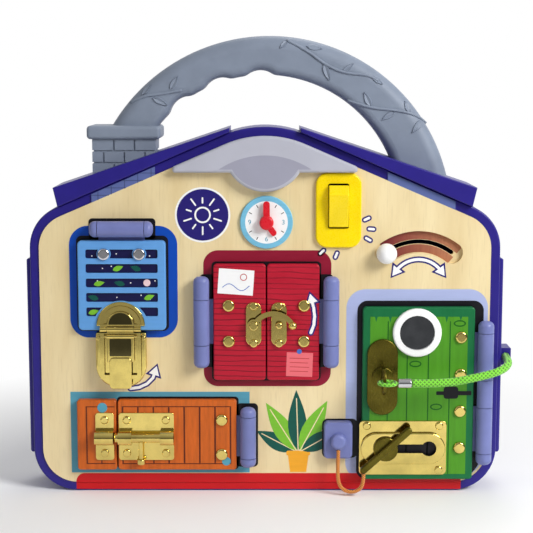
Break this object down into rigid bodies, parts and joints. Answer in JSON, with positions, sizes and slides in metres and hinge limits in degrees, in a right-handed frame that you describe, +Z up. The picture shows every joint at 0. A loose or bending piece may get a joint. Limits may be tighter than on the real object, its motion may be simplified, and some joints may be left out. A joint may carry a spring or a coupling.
{
  "type": "toy lock puzzle board",
  "caption": "House-shaped toy play board of wood and plastic with hinged doors, brass locks, a key on a cord, a clock, a switch, a slide and an arched carrying handle.",
  "frame": {"origin": "middle of the flat base the case stands on", "axes": "+X to the right as seen from the front, +Y to the back, +Z up"},
  "size_m": [0.3345, 0.0821, 0.3125],
  "materials": {
    "purple": "satin moulded purple",
    "birch": "clear-lacquered pale plywood with printed areas",
    "grey": "matt blue-grey",
    "foot_blue": "matt blue-grey",
    "frosted": "frosted, light passes through",
    "circuit": "circuit strip",
    "yellow": "glossy yellow",
    "black": "black housing",
    "dial": "painted light blue with a white face",
    "red_hand": "glossy red",
    "steel": "plain steel",
    "hinge": "satin periwinkle",
    "white": "glossy white",
    "blue": "painted blue",
    "red": "painted red",
    "orange": "painted orange brown",
    "green": "painted green",
    "brass": "polished brass",
    "old_brass": "dull brass",
    "mirror": "small mirror",
    "crimp": "bright crimp sleeve",
    "green_cord": "braided green cord",
    "orange_cord": "elastic orange-brown cord"
  },
  "bodies": {
    "case": {"rear_shell": "purple", "front_board": "birch", "roof_plate_left": "purple", "roof_plate_right": "purple", "side_rails": "purple", "handle": "grey", "chimney": "grey", "roof_feet": "foot_blue", "lamp_cover": "frosted", "lamp_module": "circuit", "switch_plate": "yellow", "switch_body": "black", "clock_dial": "dial", "pivot_pins": "steel", "hinge_brackets": "hinge", "latch_base": "brass", "board_rivets": "brass", "orange_panel": "orange", "bolt_strike": "brass", "chain_block": "hinge", "chain_cord": "orange_cord", "key_cord": "green_cord", "battery_cover": "purple", "case_screws": "steel"},
    "window": {"window_shutter": "blue", "window_hinge_leaf": "hinge", "window_rivets": "brass", "latch_rose": "brass"},
    "latch_flap": {"latch_flap": "brass"},
    "latch_lever": {"latch_lever": "brass"},
    "red_left": {"red_leaf_left": "red", "red_hinge_leaf_left": "hinge", "red_rivets_left": "brass", "hook_plate": "brass"},
    "hook": {"swing_hook": "brass"},
    "red_right": {"red_leaf_right": "red", "red_hinge_leaf_right": "hinge", "red_rivets_right": "brass", "stud_plate": "brass"},
    "orange_door": {"orange_door": "orange", "orange_hinge_leaf": "hinge", "orange_rivets": "brass", "bolt_housing": "brass"},
    "bolt": {"bolt_rod": "brass"},
    "green_door": {"green_door": "green", "green_hinge_leaf": "hinge", "green_rivets": "brass", "mirror_ring": "white", "mirror_glass": "mirror", "escutcheon": "old_brass", "chain_plate": "brass"},
    "plug": {"lock_plug": "old_brass"},
    "key_carrier": {"crimp_sleeve": "crimp", "key_loop": "green_cord"},
    "key": {"key": "old_brass"},
    "slider": {"chain_slider": "brass"},
    "rocker": {"switch_rocker": "yellow"},
    "hour": {"clock_hour_hand": "red_hand"},
    "minute": {"clock_minute_hand": "red_hand"},
    "arc_slide": {"arc_slide_knob": "white"}
  },
  "joints": [
    {"name": "window_hinge", "type": "hinge", "parent": "case", "child": "window", "pos_m": [-0.097, -0.0307, 0.1834], "axis": [-1, 0, 0], "range_deg": [0, 105]},
    {"name": "latch_flap_hinge", "type": "hinge", "parent": "window", "child": "latch_flap", "pos_m": [-0.098, -0.034, 0.1154], "axis": [-1, 0, 0], "range_deg": [0, 90]},
    {"name": "latch_lever_hinge", "type": "hinge", "parent": "latch_flap", "child": "latch_lever", "pos_m": [-0.098, -0.034, 0.1106], "axis": [-1, 0, 0], "range_deg": [0, 85]},
    {"name": "red_left_hinge", "type": "hinge", "parent": "case", "child": "red_left", "pos_m": [-0.0432, -0.0307, 0.1198], "axis": [0, 0, -1], "range_deg": [0, 110]},
    {"name": "red_right_hinge", "type": "hinge", "parent": "case", "child": "red_right", "pos_m": [0.045, -0.0307, 0.1198], "axis": [0, 0, 1], "range_deg": [0, 110]},
    {"name": "hook_turn", "type": "hinge", "parent": "red_left", "child": "hook", "pos_m": [-0.0077, -0.0353, 0.1182], "axis": [0, -1, 0], "range_deg": [0, 90]},
    {"name": "orange_hinge", "type": "hinge", "parent": "case", "child": "orange_door", "pos_m": [-0.0116, -0.0307, 0.0396], "axis": [0, 0, 1], "range_deg": [0, 110]},
    {"name": "bolt_slide", "type": "slide", "parent": "orange_door", "child": "bolt", "axis": [1, 0, 0], "range_m": [-0.0045, 0.009]},
    {"name": "green_hinge", "type": "hinge", "parent": "case", "child": "green_door", "pos_m": [0.1504, -0.0307, 0.0705], "axis": [0, 0, 1], "range_deg": [0, 45], "deforming": ["key_cord", "chain_cord"]},
    {"name": "key_pull", "type": "slide", "parent": "green_door", "child": "key_carrier", "axis": [0, -1, 0], "range_m": [0, 0.02], "deforming": ["key_cord"]},
    {"name": "key_turn", "type": "hinge", "parent": "key_carrier", "child": "key", "pos_m": [0.0802, -0.04, 0.082], "axis": [0, -1, 0], "range_deg": [-90, 90], "deforming": ["key_loop"]},
    {"name": "plug_turn", "type": "hinge", "parent": "green_door", "child": "plug", "pos_m": [0.0802, -0.03, 0.082], "axis": [0, -1, 0], "range_deg": [-90, 90]},
    {"name": "chain_slide", "type": "slide", "parent": "green_door", "child": "slider", "axis": [1, 0, 0], "range_m": [0, 0.0297], "deforming": ["chain_cord"]},
    {"name": "rocker_tilt", "type": "hinge", "parent": "case", "child": "rocker", "pos_m": [0.0496, -0.023, 0.1987], "axis": [-1, 0, 0], "range_deg": [0, 10]},
    {"name": "hour_hand_turn", "type": "hinge", "parent": "case", "child": "hour", "pos_m": [0.001, -0.0281, 0.1876], "axis": [0, 1, 0], "continuous": true},
    {"name": "minute_hand_turn", "type": "hinge", "parent": "case", "child": "minute", "pos_m": [0.001, -0.0299, 0.1876], "axis": [0, 1, 0], "continuous": true},
    {"name": "arc_slide_turn", "type": "hinge", "parent": "case", "child": "arc_slide", "pos_m": [0.1045, -0.0173, 0.1365], "axis": [0, 1, 0], "range_deg": [0, 73]}
  ],
  "couplings": [
    {"joint": "red_right_hinge", "follows": "red_left_hinge", "ratio": 1},
    {"joint": "plug_turn", "follows": "key_turn", "ratio": 1}
  ]
}
